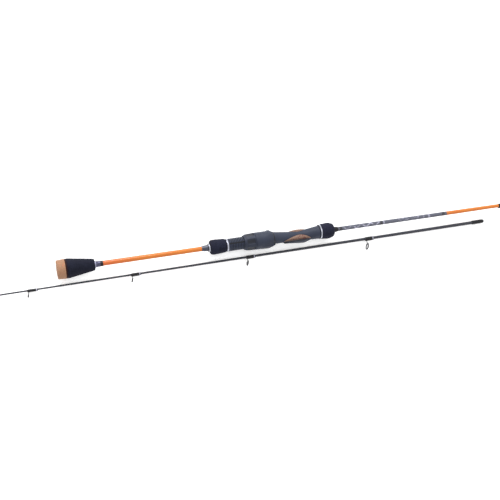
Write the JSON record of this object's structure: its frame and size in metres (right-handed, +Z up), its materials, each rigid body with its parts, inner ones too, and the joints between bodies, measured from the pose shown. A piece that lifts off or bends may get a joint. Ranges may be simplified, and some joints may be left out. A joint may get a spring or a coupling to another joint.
{
  "type": "spinning rod",
  "caption": "Two-piece ultralight spinning rod laid down in its sections, with a split foam and cork handle, skeleton reel seat, screw-up hood and ringed line guides.",
  "frame": {"origin": "on the surface the rod lies on, under the middle of the box round both sections", "axes": "+X along the butt section towards its spigot end, +Z up, the foot side of both sections towards -Y"},
  "size_m": [1.4876, 0.0534, 0.0287],
  "materials": {
    "cork": "composite cork, sanded",
    "trim_ring": "dark red-brown, matte",
    "eva_foam": "fine closed-cell foam, matte",
    "dark_metal": "anodised gunmetal",
    "silver": "polished",
    "seat_plastic": "slate grey, satin",
    "bushing": "bare arbor",
    "orange_blank": "glossy paint over fibre, with a dark grey stretch ahead of the handle",
    "dark_blank": "dark grey, satin gloss",
    "thread_wrap": "black thread under clear resin",
    "guide_metal": "black chrome",
    "guide_ring": "polished dark ceramic"
  },
  "bodies": {
    "butt_section": {"butt_cap": "cork", "seat_core": "cork", "butt_trim_ring": "trim_ring", "butt_grip": "eva_foam", "rear_grip": "eva_foam", "fore_grip": "eva_foam", "butt_check": "dark_metal", "rear_check": "dark_metal", "rear_grip_back_ring": "silver", "rear_grip_front_ring": "silver", "fore_grip_ring": "silver", "reel_seat": "seat_plastic", "seat_bushing_rear": "bushing", "seat_bushing_front": "bushing", "butt_blank": "orange_blank", "fore_check": "thread_wrap", "butt_ferrule_wrap": "thread_wrap", "stripper_guide_rear_wrap": "thread_wrap", "stripper_guide_front_wrap": "thread_wrap", "second_guide_rear_wrap": "thread_wrap", "second_guide_front_wrap": "thread_wrap", "stripper_guide_frame": "guide_metal", "second_guide_frame": "guide_metal", "stripper_guide_ring": "guide_ring", "second_guide_ring": "guide_ring"},
    "hood": {"moving_hood": "seat_plastic", "hood_liner": "silver"},
    "nut": {"hood_nut": "seat_plastic"},
    "tip_section": {"tip_blank": "dark_blank", "ferrule_wrap": "thread_wrap", "tip_top_frame": "guide_metal", "tip_top_ring": "guide_ring", "tip_top_wrap": "thread_wrap", "guide_7_frame": "guide_metal", "guide_7_ring": "guide_ring", "guide_7_wrap": "thread_wrap", "guide_6_frame": "guide_metal", "guide_6_ring": "guide_ring", "guide_6_wrap": "thread_wrap", "guide_5_frame": "guide_metal", "guide_5_ring": "guide_ring", "guide_5_wrap": "thread_wrap", "guide_4_frame": "guide_metal", "guide_4_ring": "guide_ring", "guide_4_wrap": "thread_wrap", "guide_3_frame": "guide_metal", "guide_3_ring": "guide_ring", "guide_3_wrap": "thread_wrap", "guide_2_frame": "guide_metal", "guide_2_ring": "guide_ring", "guide_2_wrap": "thread_wrap", "guide_1_frame": "guide_metal", "guide_1_ring": "guide_ring", "guide_1_wrap": "thread_wrap"}
  },
  "joints": [
    {"name": "hood_slide", "type": "slide", "parent": "butt_section", "child": "hood", "axis": [1, 0, -0.0041], "range_m": [-0.019, 0.005]},
    {"name": "nut_turn", "type": "hinge", "parent": "hood", "child": "nut", "pos_m": [-0.0612, 0.01248, 0.01342], "axis": [1, 0, -0.0041], "range_deg": [-2736, 720]},
    {"name": "tip_section_lift", "type": "slide", "parent": "butt_section", "child": "tip_section", "axis": [0, 0, 1], "range_m": [0, 0.12]}
  ],
  "couplings": [
    {"joint": "hood_slide", "follows": "nut_turn", "m_per_rad": 0.00039789}
  ]
}
